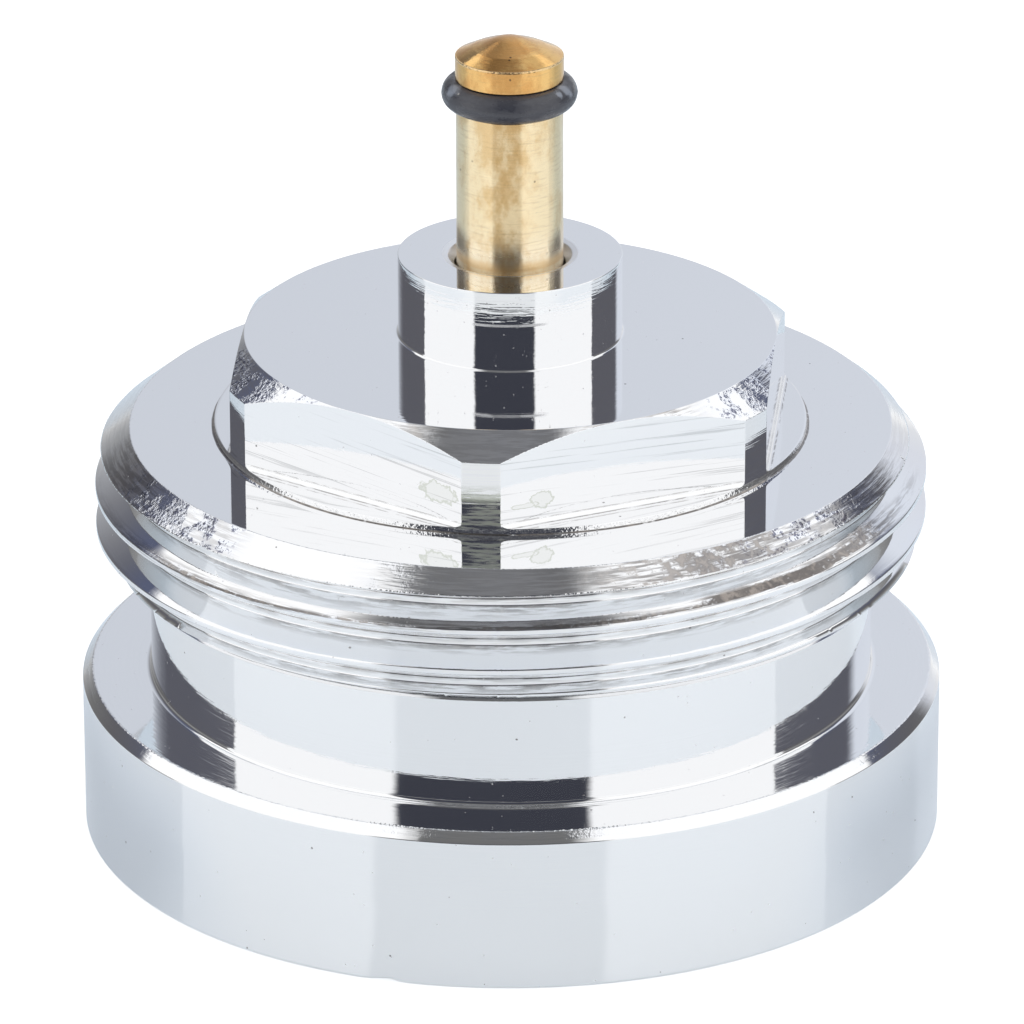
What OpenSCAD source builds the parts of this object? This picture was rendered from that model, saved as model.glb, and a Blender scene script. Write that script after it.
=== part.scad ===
// Adapter that lets a radiator head with an M30 x 1.5 union nut sit on a valve with an M28 x 1.5 neck.
// One turned and milled body, a sliding push pin guided through it, and a rubber ring on the pin.
// Z is the turning axis. The lower ring stands on z = 0.

/* [Lower ring] */
// Thickness of the lower ring's wall, outside the root of the valve thread
ring_wall = 1.5; // [1.25:0.05:4]
// Height of the lower ring
ring_h = 5.9; // [5.6:0.1:9]
// Chamfer on the ring's upper edge
ring_edge = 0.35; // [0.1:0.05:0.8]
// Broken edge round the ring's lower face
ring_foot_edge = 0.12; // [0.05:0.01:0.4]

/* [Valve thread] */
// Nominal diameter of the inside thread, which screws onto the valve
valve_thread_d = 28; // [27:0.5:28.5]
// Pitch of the inside thread
valve_thread_pitch = 1.5; // [1:0.25:1.5]
// Depth from the lower face to the shoulder that meets the valve
valve_thread_depth = 4.9; // [4:0.1:5.2]
// Height of the relief groove under the shoulder
relief_h = 1; // [0.5:0.1:1.2]

/* [Neck and chamber] */
// Outer diameter of the plain neck
neck_d = 26; // [25:0.1:27]
// Height of the neck between the lower ring and the threaded collar
neck_h = 4.4; // [3:0.1:8]
// Fillet where the neck stands on the lower ring
neck_fillet = 0.2; // [0.1:0.05:0.6]
// Bore of the chamber that takes the valve's spindle housing
chamber_d = 22.4; // [20:0.1:23]
// Thickness of the metal between the chamber and the flange face
roof_t = 2; // [1:0.1:3]
// Radius in the chamber's upper corner
chamber_corner = 0.6; // [0.2:0.1:1]

/* [Head thread] */
// Diameter over the crests of the outside thread, which takes the union nut
head_thread_d = 29.8; // [28.5:0.1:30]
// Pitch of the outside thread
head_thread_pitch = 1.5; // [1:0.25:1.5]
// Height of the threaded collar
collar_h = 4.83; // [4.5:0.01:9]
// Distance from the flange face down to the first full groove
first_groove = 1.03; // [0.9:0.01:1.3]
// Width of the lead-in chamfer, measured along the radius
lead_in = 1.27; // [0.6:0.01:1.5]
// Slope of the lead-in chamfer, in degrees from the flange face
lead_in_angle = 38.5; // [20:0.5:42]

/* [Hexagon] */
// Width across the flats, for the spanner
hex_af = 19; // [18:0.1:19.4]
// Diameter of the turned bar that the flats are milled from
hex_bar_d = 21.2; // [20.6:0.1:21.6]
// Height of the hexagon above the flange face
hex_h = 3.47; // [3:0.01:8]
// Height at which the milled flats stop above the flange face
flat_step = 0.21; // [0.15:0.01:0.4]
// Corner radius of the milling cutter, left at the foot of each flat
cutter_corner = 0.18; // [0.1:0.01:0.4]
// Diameter of the flat top face inside the chamfer
hex_face_d = 18.88; // [17:0.01:18.9]
// Slope of the hexagon's chamfer, in degrees from the top face
hex_chamfer_angle = 36; // [20:1:45]
// Turn of the hexagon about the axis, in degrees
hex_turn = -5.6; // [-30:0.1:30]

/* [Boss] */
// Diameter of the guide boss on top
boss_d = 8; // [7:0.1:10]
// Height of the boss above the hexagon
boss_h = 2.95; // [2:0.05:6]
// Chamfer on the boss's top edge
boss_edge = 0.1; // [0.05:0.01:0.3]
// Fillet at the foot of the boss
boss_fillet = 0.15; // [0.05:0.01:0.4]
// Running clearance between the pin and its guide bore, measured along the radius
guide_clearance = 0.08; // [0.03:0.01:0.1]
// Widening of the bore at its two mouths, measured along the radius
mouth_flare = 0.23; // [0.05:0.01:0.3]
// Width of the worn, slightly sunken rim round the upper mouth
mouth_rim = 0.22; // [0.1:0.01:0.5]
// Depth to which that rim is worn
mouth_sink = 0.04; // [0.02:0.01:0.1]

/* [Push pin] */
// Diameter of the pin's shank
pin_d = 3.8; // [3:0.1:4.4]
// Extra diameter of the pin's head over its shank
head_swell = 0.05; // [0.02:0.01:0.08]
// Height of the pin's tip above the flange face, with the pin fully out
tip_rise = 14.55; // [13:0.05:18]
// Height of the pin's head, from the ring groove to the crown's edge
head_h = 0.83; // [0.5:0.01:2]
// Slope of the crown's cone, in degrees from level
crown_angle = 23; // [15:1:35]
// Radius of the crown's rounded nose
crown_nose = 1.6; // [0.6:0.1:2]
// Diameter of the foot that the valve's spindle pushes on
foot_d = 8; // [6:0.1:12]
// Thickness of the foot
foot_h = 2; // [1:0.1:3]
// Chamfer round the foot
foot_edge = 0.3; // [0.1:0.05:0.6]
// Gap between the foot and the chamber's roof, with the pin fully out
foot_gap = 0.1; // [0.05:0.05:0.5]

/* [Rubber ring] */
// Thickness of the ring's round section
cord_d = 1.05; // [0.8:0.05:1.2]
// Clearance between the ring and the walls of its groove
groove_clearance = 0.02; // [0.01:0.01:0.05]
// How far the ring stands out from the shank
cord_stand = 0.51; // [0.3:0.01:0.6]

/* [Hidden] */
$fn = 96;
eps = 0.01;

// Share of the pitch that each thread form takes: crest flats, root flats and depths
male_depth_share = 0.6134;
male_crest_share = 1 / 8;
female_depth_share = 0.5413;
female_crest_share = 1 / 4;
flank_angle = 30;

neck_r = neck_d / 2;
chamber_r = chamber_d / 2;
head_crest_r = head_thread_d / 2;
head_root_r = head_crest_r - male_depth_share * head_thread_pitch;
valve_root_r = valve_thread_d / 2;
ring_r = valve_root_r + ring_wall;
valve_crest_r = valve_root_r - female_depth_share * valve_thread_pitch;
hex_bar_r = hex_bar_d / 2;
hex_face_r = hex_face_d / 2;
boss_r = boss_d / 2;
pin_r = pin_d / 2;
head_r = pin_r + head_swell / 2;
bore_r = pin_r + guide_clearance;
foot_r = foot_d / 2;

// Heights up the axis
collar_z = ring_h + neck_h;
flange_z = collar_z + collar_h;
roof_z = flange_z - roof_t;
hex_z = flange_z + hex_h;
boss_z = hex_z + boss_h;
foot_top_z = roof_z - foot_gap;
foot_z = foot_top_z - foot_h;
tip_z = flange_z + tip_rise;
crown_h = (head_r - crown_nose * sin(crown_angle)) * tan(crown_angle)
    + crown_nose * (1 - cos(crown_angle));
crown_z = tip_z - crown_h;
groove_top_z = crown_z - head_h;
groove_h = cord_d + 2 * groove_clearance;
cord_z = groove_top_z - groove_h / 2;
cord_centre_r = pin_r + cord_stand - cord_d / 2;
groove_r = cord_centre_r - cord_d / 2 - groove_clearance;

// A round inside corner, drawn in the turning plane, with its corner at [r, z]
module inside_corner(r, z, size) {
    translate([r - eps, z - eps])
        difference() {
            square(size + eps);
            translate([size + eps, size + eps]) circle(size);
        }
}

// One V-shaped thread groove in the turning plane, open at x = 0 and reaching depth along +X
module thread_groove(pitch, depth, crest_share) {
    mouth = pitch * (1 - crest_share) / 2;
    spread = tan(flank_angle);
    root = mouth - depth * spread;
    polygon([
        [-eps, -mouth - eps * spread], [depth, -root],
        [depth, root], [-eps, mouth + eps * spread]
    ]);
}

// The turned outside of the body, from the lower ring up to the boss
module outside_profile() {
    lead_h = lead_in * tan(lead_in_angle);
    run_out = head_crest_r - head_root_r;
    hex_chamfer_h = (hex_bar_r - hex_face_r) * tan(hex_chamfer_angle);
    difference() {
        polygon([
            [0, 0],
            [ring_r - ring_foot_edge, 0], [ring_r, ring_foot_edge],
            [ring_r, ring_h - ring_edge], [ring_r - ring_edge, ring_h],
            [neck_r, ring_h], [neck_r, collar_z],
            [head_root_r, collar_z], [head_crest_r, collar_z + run_out],
            [head_crest_r, flange_z - lead_h], [head_crest_r - lead_in, flange_z],
            [hex_bar_r, flange_z], [hex_bar_r, hex_z - hex_chamfer_h], [hex_face_r, hex_z],
            [boss_r, hex_z], [boss_r, boss_z - boss_edge], [boss_r - boss_edge, boss_z],
            [0, boss_z]
        ]);
        for (z = [flange_z - first_groove : -head_thread_pitch : collar_z + run_out / 2])
            translate([head_crest_r, z])
                mirror([1, 0])
                    thread_groove(head_thread_pitch, head_crest_r - head_root_r, male_crest_share);
    }
    inside_corner(neck_r, ring_h, neck_fillet);
    inside_corner(hex_bar_r, flange_z, flat_step);
    inside_corner(boss_r, hex_z, boss_fillet);
}

// Everything that is bored out of the body: valve thread, chamber and guide bore
module inside_profile() {
    mouth_r = valve_root_r + ring_foot_edge;
    mouth_h = mouth_r - valve_crest_r;
    polygon([
        [0, -1], [mouth_r + 1, -1], [valve_crest_r, mouth_h],
        [valve_crest_r, valve_thread_depth], [0, valve_thread_depth]
    ]);
    for (z = [mouth_h + valve_thread_pitch / 2 : valve_thread_pitch :
              valve_thread_depth - relief_h - valve_thread_pitch / 4])
        translate([valve_crest_r, z])
            thread_groove(valve_thread_pitch, valve_root_r - valve_crest_r, female_crest_share);
    translate([0, valve_thread_depth - relief_h]) square([valve_root_r, relief_h]);
    chamber_profile();
    guide_profile();
}

// The chamber above the shoulder, with a rounded upper corner
module chamber_profile() {
    translate([0, valve_thread_depth - eps])
        square([chamber_r, roof_z - chamber_corner - valve_thread_depth + eps]);
    translate([0, roof_z - chamber_corner - eps])
        square([chamber_r - chamber_corner, chamber_corner + eps]);
    translate([chamber_r - chamber_corner, roof_z - chamber_corner])
        intersection() {
            circle(chamber_corner);
            square(chamber_corner);
        }
}

// The guide bore, flared at both mouths, with the worn rim on top of the boss
module guide_profile() {
    flare_h = 2 * mouth_flare;
    flare_r = bore_r + mouth_flare;
    polygon([
        [0, roof_z - eps], [flare_r + eps / 2, roof_z - eps],
        [bore_r, roof_z + flare_h], [bore_r, boss_z - mouth_sink - flare_h],
        [flare_r, boss_z - mouth_sink], [flare_r + mouth_rim, boss_z],
        [flare_r + mouth_rim, boss_z + 1], [0, boss_z + 1]
    ]);
}

// The space swept by the milling cutter beside one flat, with its rounded lower corner
module flat_cutter() {
    reach = hex_bar_r - hex_af / 2 + 1;
    height = hex_h - flat_step + 1;
    translate([hex_af / 2, 0, flange_z + flat_step])
        rotate([90, 0, 0])
            linear_extrude(height = hex_bar_d, center = true)
                union() {
                    translate([0, cutter_corner]) square([reach, height - cutter_corner]);
                    translate([cutter_corner, 0]) square([reach - cutter_corner, cutter_corner + eps]);
                    translate([cutter_corner, cutter_corner]) circle(cutter_corner);
                }
}

// The outside is turned from a corner of the hexagon, so that its seam runs between two flats
module adapter_body() {
    color([0.80, 0.81, 0.83])
        difference() {
            rotate([0, 0, hex_turn + 30]) rotate_extrude() outside_profile();
            for (side = [0 : 5])
                rotate([0, 0, hex_turn + side * 60]) flat_cutter();
            rotate_extrude() inside_profile();
        }
}

// The pin turned from one bar: foot, shank, ring groove, head and crown
module pin_profile() {
    nose_edge_r = crown_nose * sin(crown_angle);
    nose_edge_z = tip_z - crown_nose * (1 - cos(crown_angle));
    polygon([
        [0, foot_z], [foot_r - foot_edge, foot_z], [foot_r, foot_z + foot_edge],
        [foot_r, foot_top_z - foot_edge], [foot_r - foot_edge, foot_top_z],
        [pin_r, foot_top_z], [pin_r, groove_top_z - groove_h],
        [groove_r, groove_top_z - groove_h], [groove_r, groove_top_z],
        [head_r, groove_top_z], [head_r, crown_z],
        [nose_edge_r, nose_edge_z], [0, nose_edge_z]
    ]);
    intersection() {
        translate([0, tip_z - crown_nose]) circle(crown_nose);
        translate([0, nose_edge_z - eps]) square([nose_edge_r, crown_nose]);
    }
}

module push_pin() {
    color([0.86, 0.70, 0.42])
        rotate_extrude() pin_profile();
}

module rubber_ring() {
    color([0.16, 0.16, 0.18])
        rotate_extrude()
            translate([cord_centre_r, cord_z]) circle(d = cord_d);
}

adapter_body();
push_pin();
rubber_ring();
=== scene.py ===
"""Looks of a radiator adapter: a plated brass body with two screw threads, a sliding brass pin and its
rubber ring. Lengths in the drawing tables are millimetres, and the meshes are in metres. The angle phi
runs round the Z axis from the front, -Y, towards +X."""

import math

import bpy
import numpy as np
from mathutils import Matrix, Vector


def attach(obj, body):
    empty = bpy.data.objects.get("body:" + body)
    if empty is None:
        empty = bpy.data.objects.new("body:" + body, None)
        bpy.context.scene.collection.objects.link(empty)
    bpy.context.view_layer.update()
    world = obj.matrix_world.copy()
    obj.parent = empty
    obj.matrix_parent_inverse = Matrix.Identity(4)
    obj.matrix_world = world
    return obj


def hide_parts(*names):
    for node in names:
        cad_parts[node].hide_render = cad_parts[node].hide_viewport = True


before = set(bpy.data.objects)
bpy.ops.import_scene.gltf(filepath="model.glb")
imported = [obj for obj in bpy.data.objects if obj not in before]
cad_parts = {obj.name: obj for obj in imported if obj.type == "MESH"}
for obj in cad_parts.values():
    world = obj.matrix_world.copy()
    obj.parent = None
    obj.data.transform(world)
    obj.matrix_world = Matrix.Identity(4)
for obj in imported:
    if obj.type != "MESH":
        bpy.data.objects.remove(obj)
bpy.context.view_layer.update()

MM = 0.001
TAU = 2 * math.pi

# Sizes of the body, as the part's own drawing gives them
RING_R, RING_TOP, RING_EDGE, FOOT_EDGE = 15.5, 5.9, 0.35, 0.12
NECK_R, NECK_FILLET, COLLAR_Z = 13.0, 0.2, 10.3
CREST_R, ROOT_R, PITCH = 14.9, 13.98, 1.5
FLANGE_Z, FLANGE_R, LEAD_Z = 15.13, 13.63, 14.12
BAR_R, FLAT_R, LEDGE_Z, CUTTER_R = 10.6, 9.5, 15.34, 0.18
HEX_Z, HEX_FACE_R, HEX_SLOPE, HEX_TURN = 18.6, 9.49, math.radians(36), math.radians(24.4)
BOSS_R, BOSS_Z, BORE_R, MOUTH_R, RIM_R = 4.0, 21.55, 1.98, 2.21, 2.43
CHAMBER_R, ROOF_Z, CHAMBER_CORNER = 11.2, 13.13, 0.6
VALVE_ROOT_R, VALVE_CREST_R, VALVE_MOUTH_R, SHOULDER_Z, RELIEF_Z = 14.0, 13.188, 14.12, 4.9, 3.9
CREST_AT_FRONT = 13.35      # height of a crest of the outside thread at phi = 0

# How the lead-in cone came out of the lathe, by angle in degrees: streaks, torn grain, brown soil
CHATTER = ((-180, 0.5, 0.4, 0.1), (-86, 0.4, 0.2, 0.1), (-80, 0.5, 0.3, 0.45), (-68, 0.5, 0.6, 0.5),
           (-63, 0.5, 0.9, 0.3), (-58, 0.5, 1.0, 0.2), (-45, 0.4, 1.0, 0.35), (-40, 0.05, 0.0, 0.0),
           (-24, 0.1, 0.0, 0.0), (-19, 0.85, 0.35, 0.1), (-8, 0.75, 0.2, 0.15), (0, 0.4, 0.1, 0.1),
           (8, 0.45, 0.1, 0.3), (12, 0.5, 0.1, 0.6), (20, 0.7, 0.2, 0.74), (28, 0.9, 0.5, 0.84),
           (40, 0.9, 0.7, 0.76), (46, 0.8, 0.9, 0.45), (54, 0.6, 0.9, 0.6), (62, 0.9, 0.3, 0.6),
           (72, 0.8, 0.1, 0.35), (80, 0.5, 0.1, 0.1), (180, 0.5, 0.4, 0.1))
# Soil on the upper flank of the ridge below it, by angle: how dark, and from where to where up the flank
FLANK_SOIL = ((-180, 0.0, 0.0, 0.2), (-82, 0.1, 0.0, 0.2), (-70, 0.35, -0.1, 0.2), (-45, 1.0, -0.1, 0.1),
              (-30, 0.9, -0.1, 0.08), (-15, 0.7, -0.1, 0.1), (0, 0.8, 0.0, 0.13), (15, 0.9, 0.0, 0.25),
              (30, 0.95, 0.1, 0.42), (45, 0.95, 0.0, 0.62), (60, 0.8, 0.1, 0.7), (76, 0.4, 0.2, 0.6),
              (86, 0.0, 0.2, 0.6), (180, 0.0, 0.0, 0.2))
# Stain on the hexagon's cone, by angle
CONE_STAIN = ((-30, 0.0), (-20, 0.6), (-12, 0.15), (12, 0.2), (20, 0.78), (27, 0.2), (36, 0.74), (42, 0.1),
              (46, 0.0))


def rounded(corners, steps=3):
    """A line through corners (r, z, radius), with an arc of that radius in place of each inner corner:
    the arc touches both sides, and a radius of 0 keeps the corner."""
    corners = np.array(corners, float)
    out = [corners[0, :2]]
    for before, here, after in zip(corners[:-2], corners[1:-1], corners[2:]):
        if here[2] <= 0:
            out.append(here[:2])
            continue
        a, b = before[:2] - here[:2], after[:2] - here[:2]
        la, lb = np.hypot(*a), np.hypot(*b)
        a, b = a / la, b / lb
        half = 0.5 * math.acos(float(np.clip(a @ b, -1, 1)))
        reach = min(here[2] / math.tan(half), 0.45 * la, 0.45 * lb)
        for t in np.linspace(0, 1, steps + 1):
            out.append(here[:2] + reach * ((1 - t) ** 2 * a + t ** 2 * b))
    out.append(corners[-1, :2])
    return np.array(out)


def filled(line, longest):
    """The same line with points added, so that no step is longer than longest."""
    out = [line[0]]
    for p, q in zip(line[:-1], line[1:]):
        n = max(1, int(math.ceil(np.hypot(*(q - p)) / longest)))
        out.extend(p + (q - p) * t for t in np.linspace(0, 1, n + 1)[1:])
    return np.array(out)


def columns_for_hexagon():
    """Angles round the body. They close up beside each edge between a milled flat and the turned bar."""
    edge = math.degrees(math.acos(FLAT_R / BAR_R))
    side = np.concatenate([
        np.linspace(-30, -edge - 0.12, 6)[:-1], [-edge - 0.12, -edge, -edge + 0.12],
        np.linspace(-edge + 0.12, -edge + 3, 8)[1:], np.linspace(-edge + 3, edge - 3, 38)[1:],
        np.linspace(edge - 3, edge - 0.12, 8)[1:], [edge, edge + 0.12], np.linspace(edge + 0.12, 30, 6)[1:-1]])
    turns = np.radians(side)[None, :] + HEX_TURN + np.arange(6)[:, None] * math.pi / 3
    alpha = np.tile(np.radians(side), 6)
    phi = (turns.ravel() + math.pi) % TAU - math.pi
    order = np.argsort(phi)
    return phi[order], alpha[order]


def smoothstep(x, low, high):
    t = np.clip((x - low) / (high - low), 0, 1)
    return t * t * (3 - 2 * t)


def ripple(phi, seed, waves):
    """A wobble round the axis: a sum of cosines of phi with whole numbers of waves and seeded phases."""
    rng = np.random.default_rng(seed)
    total = np.zeros_like(phi)
    for n in waves:
        total += rng.uniform(0.4, 1) * np.cos(n * phi + rng.uniform(0, TAU))
    return total / len(waves)


def thread_line(crest_r, root_r, crest_at, crest_half, root_half, z_from, z_to, bend):
    """One thread section in the turning plane: crest, flank, root, flank, again and again from z_from to
    z_to, with every corner rounded and a point low on the upper flank. Also gives the points per pitch."""
    corners = []
    k0 = math.floor((z_from - crest_at) / PITCH) - 1
    k1 = math.ceil((z_to - crest_at) / PITCH) + 1
    for k in range(k0, k1 + 1):
        z = crest_at + k * PITCH
        low = 0.13 * (PITCH / 2 - root_half - crest_half)
        corners += [(crest_r, z - crest_half, bend), (crest_r, z + crest_half, bend),
                    (crest_r + 0.13 * (root_r - crest_r), z + crest_half + low, 0),
                    (root_r, z + PITCH / 2 - root_half, bend), (root_r, z + PITCH / 2 + root_half, bend)]
    line = filled(rounded(corners, 2), 0.34)
    start = crest_at + (k0 + 1) * PITCH + 0.5 * crest_half
    per_pitch = int(np.sum((line[:, 1] > start) & (line[:, 1] < start + PITCH)))
    return line[(line[:, 1] >= z_from) & (line[:, 1] <= z_to)], per_pitch


def outside_thread(phi):
    """r and z of the threaded collar, its streaks, torn grain, edge (1 where it meets the cone), soil with
    painted shade in the root corners, and its rows per pitch. The section climbs one pitch a turn, and is held
    inside the cone above and a 45 degree chamfer below. The row that meets the cone lies on the edge, with a
    row close by on each side, and the last row outside the chamfer is moved onto it.
    The die sat slightly askew, so the thread dips towards +X."""
    rise = PITCH * phi / TAU - 0.06 - 0.08 * np.sin(phi)
    line, per_pitch = thread_line(CREST_R, ROOT_R, CREST_AT_FRONT, 0.094, 0.125,
                       COLLAR_Z - PITCH / 2 + 0.02, FLANGE_Z + PITCH / 2, 0.055)
    r = np.repeat(line[:, :1], len(phi), 1)
    z = line[:, 1:] + rise[None, :]
    slope = (CREST_R - FLANGE_R) / (FLANGE_Z - LEAD_Z)
    burr = 0.02 * ripple(phi, 3, (41, 67, 93, 118)) + 0.012 * ripple(phi, 4, (17, 29))
    cone = CREST_R - (z - LEAD_Z) * slope + burr * np.exp(-((r - 14.55) / 0.12) ** 2)
    beyond = (r > cone) & (z > LEAD_Z - 0.3)
    first = np.clip(np.argmax(beyond, 0), 2, len(line) - 3)
    cols = np.arange(len(phi))
    g1 = (r - cone)[first, cols]
    g0 = (r - cone)[first - 1, cols]
    t = np.clip(g0 / (g0 - g1), 0, 1)
    edge_r = r[first - 1, cols] * (1 - t) + r[first, cols] * t
    edge_z = z[first - 1, cols] * (1 - t) + z[first, cols] * t
    after = np.arange(len(line))[:, None] > first[None, :]
    z = np.where(after, np.clip(np.maximum(z, edge_z + 0.035), 0, FLANGE_Z - 0.016), z)
    r = np.where(after, np.minimum(r, CREST_R - (z - LEAD_Z) * slope), r)
    before_r, before_z = r[first - 2, cols], z[first - 2, cols]
    reach = np.hypot(edge_r - before_r, edge_z - before_z)
    near = np.clip(0.035 / np.maximum(reach, 1e-6), 0, 0.9)
    r[first, cols], z[first, cols] = edge_r, edge_z
    r[first - 1, cols] = edge_r + (before_r - edge_r) * near
    z[first - 1, cols] = edge_z + (before_z - edge_z) * near
    z[first + 1, cols] = edge_z + 0.035
    r[first + 1, cols] = CREST_R - (edge_z + 0.035 - LEAD_Z) * slope
    outside = (r > ROOT_R + z - COLLAR_Z) & (np.arange(len(line))[:, None] < first[None, :] - 2)
    last = len(line) - 1 - np.argmax(outside[::-1], 0)
    past = r - ROOT_R - z + COLLAR_Z
    t = np.clip(past[last, cols] / (past[last, cols] - past[last + 1, cols]), 0, 1)
    meet_r = r[last, cols] * (1 - t) + r[last + 1, cols] * t
    meet_z = z[last, cols] * (1 - t) + z[last + 1, cols] * t
    r[last, cols], z[last, cols] = meet_r, meet_z
    chamfer = ROOT_R + (z - COLLAR_Z)
    low = z < COLLAR_Z
    r = np.where(low, ROOT_R, np.minimum(r, np.where(after, r, chamfer)))
    z = np.where(low, COLLAR_Z, z)
    angle = np.degrees(phi)
    places, streaks, torn, brown = np.array(CHATTER).T
    up = (line[:, 1:] - CREST_AT_FRONT - 0.094) / 0.531
    at, dark, low_end, high_end = np.array(FLANK_SOIL).T
    start, end = np.interp(angle, at, low_end), np.interp(angle, at, high_end)
    flank = smoothstep(up, start - 0.03, start + 0.02) * smoothstep(up, end + 0.06, end)
    flank = flank * np.interp(angle, at, dark) * (up > -0.2)
    # Painted shade: a dark line in the upper corner of each thread root.
    root_corner_shade = np.exp(-(((line[:, 1:] - CREST_AT_FRONT) % PITCH - 0.875) / 0.04) ** 2)
    root_corner_shade = root_corner_shade * (0.75 + 0.3 * ripple(phi, 11, (2, 5, 9, 14)))
    crest = smoothstep(r, 14.6, 14.88)
    streak = np.where(after, np.interp(angle, places, streaks), 0.12 + 0.3 * crest)
    grain = np.where(after, np.interp(angle, places, torn), np.maximum(0.2 * crest, 0.5 * flank))
    edge = np.zeros_like(r)
    edge[first, cols] = 1.0
    soil_and_shade = np.where(after, np.interp(angle, places, brown), np.maximum(flank, root_corner_shade))
    return r, z, streak, grain, edge, soil_and_shade, per_pitch


def between(r0, z0, r1, z1, shares):
    """Rows on the straight line from one ring of points to another, at the given shares of the way."""
    s = np.array(shares)[:, None]
    return r0 + (r1 - r0) * s, z0 + (z1 - z0) * s


def inside_thread(phi):
    """r and z of the valve thread, going down from the relief groove to the mouth, climbing with phi, and
    its rows per pitch."""
    rise = PITCH * phi / TAU
    line, per_pitch = thread_line(VALVE_CREST_R, VALVE_ROOT_R, 0.93, 0.19, 0.09, -PITCH, RELIEF_Z + PITCH,
                                  0.04)
    line = line[::-1]
    r = np.repeat(line[:, :1], len(phi), 1)
    z = line[:, 1:] + rise[None, :]
    mouth = VALVE_MOUTH_R - z
    r = np.where(z > RELIEF_Z, VALVE_ROOT_R, np.maximum(r, mouth))
    r = np.where(z < 0, VALVE_MOUTH_R, r)
    return r, np.clip(z, 0, RELIEF_Z), per_pitch


def nick(phi, r, z):
    """r and z with a small dent knocked into the ring's lower edge at the front left."""
    off = np.degrees(phi) + 16.3
    deep = np.clip(1 - np.where(off < 0, -off / 4.0, off / 2.4), 0, 1) ** 2
    foot = smoothstep(z, 0.3, 0.05) * smoothstep(r, 15.0, 15.3)
    return r - 0.04 * deep * foot, z + 0.11 * deep * foot


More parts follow.
